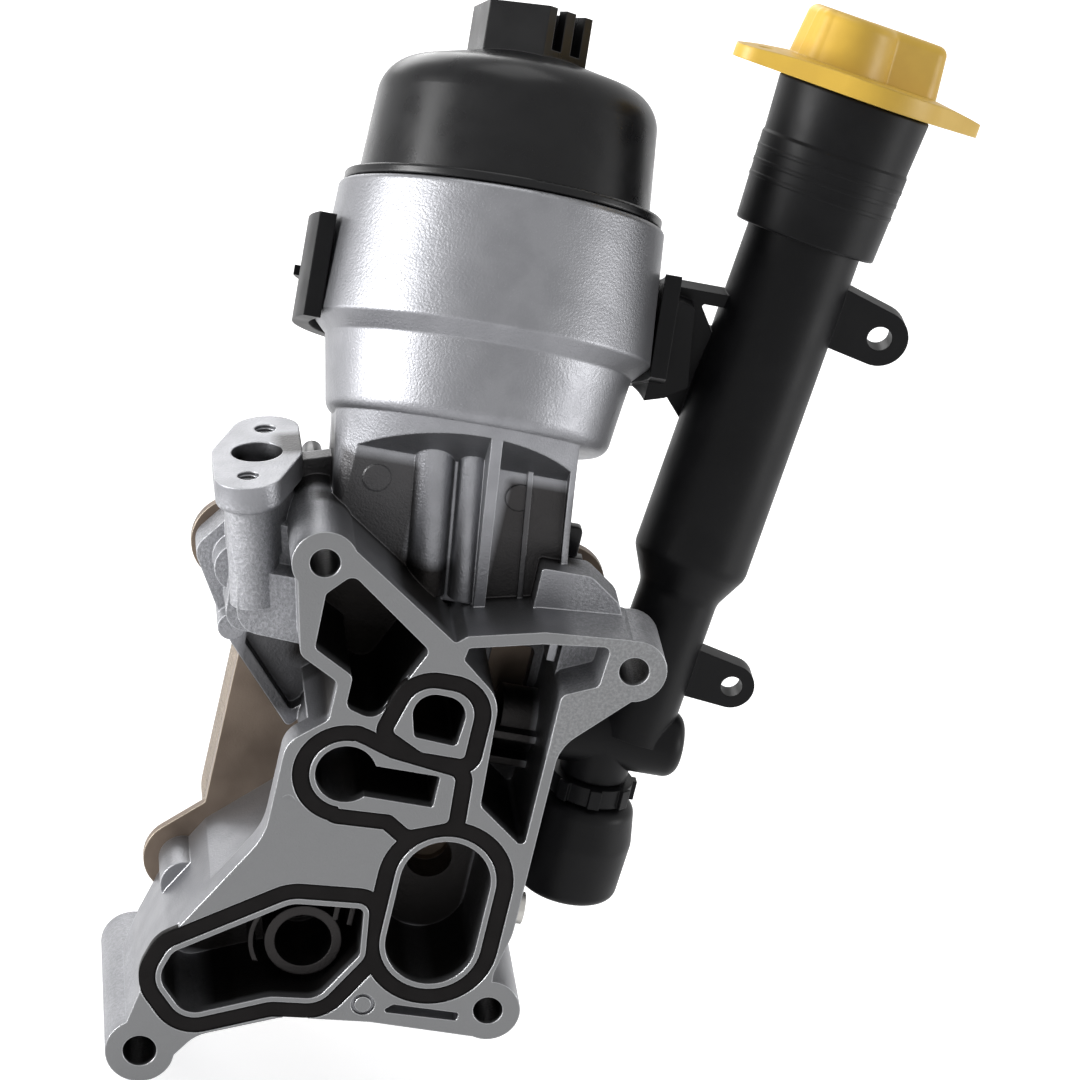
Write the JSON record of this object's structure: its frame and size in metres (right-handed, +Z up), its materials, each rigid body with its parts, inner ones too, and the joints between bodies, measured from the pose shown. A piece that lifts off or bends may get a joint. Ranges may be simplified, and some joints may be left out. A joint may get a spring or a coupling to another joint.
{
  "type": "oil filter housing with oil cooler",
  "caption": "Cast oil filter housing with a bolted plate oil cooler, tilted screw-on filter cap, turbo port, gasketed engine face and leaning oil filler tube with a yellow cap.",
  "frame": {"origin": "centre of the dowel hole at the lower left of the engine face, on that face", "axes": "-Y is the engine face's outward normal, so +Y runs into the housing; +X runs right along the face, towards the filler tube; +Z runs up the face, towards the filter cap, square to both"},
  "size_m": [0.2125, 0.1282, 0.3458],
  "materials": {
    "cast": "as-cast, satin",
    "black_plastic": "satin",
    "yellow_plastic": "satin",
    "seal_rubber": "matte",
    "cooler_metal": "brazed, stained",
    "zinc_steel": "zinc",
    "spring_steel": "bright",
    "filter_paper": "matte",
    "element_plastic": "matte"
  },
  "bodies": {
    "housing": {"filter_housing": "cast", "port_gasket": "seal_rubber", "cooler_seals": "seal_rubber", "cooler_base_plate": "cooler_metal", "cooler_core": "cooler_metal", "cooler_cover_plate": "cooler_metal", "cooler_screws": "zinc_steel", "standpipe": "black_plastic", "bypass_seat": "black_plastic", "bypass_spring": "spring_steel", "filler_tube": "black_plastic", "filler_tube_ring": "seal_rubber", "drain_canister": "black_plastic", "drain_clip": "black_plastic", "gallery_plug": "zinc_steel"},
    "filter_element": {"filter_paper": "filter_paper", "filter_top_disc": "element_plastic", "filter_bottom_disc": "element_plastic", "filter_cage": "element_plastic"},
    "filter_cap_body": {"filter_cap": "black_plastic", "filter_cap_ring": "seal_rubber"},
    "filler_cap_body": {"filler_cap": "yellow_plastic", "filler_cap_ring": "seal_rubber"},
    "bypass_plunger_body": {"bypass_plunger": "black_plastic"}
  },
  "joints": [
    {"name": "cap_rise", "type": "slide", "parent": "housing", "child": "filter_element", "axis": [0, 0.4431, 0.8965], "range_m": [0, 0.0145]},
    {"name": "cap_turn", "type": "hinge", "parent": "filter_element", "child": "filter_cap_body", "pos_m": [0.061, 0.07679, 0.25731], "axis": [0, 0.4431, 0.8965], "range_deg": [0, 1260]},
    {"name": "filler_cap_turn", "type": "hinge", "parent": "housing", "child": "filler_cap_body", "pos_m": [0.1584, 0.08399, 0.3087], "axis": [0.1438, 0.2327, 0.9619], "range_deg": [0, 90]},
    {"name": "bypass_lift", "type": "slide", "parent": "housing", "child": "bypass_plunger_body", "axis": [0, -0.4431, -0.8965], "range_m": [0, 0.006], "stiffness_N_per_m": 400, "springref_m": -0.004, "deforming": ["bypass_spring"]}
  ],
  "couplings": [
    {"joint": "cap_rise", "follows": "cap_turn", "m_per_rad": 0.00063662}
  ]
}
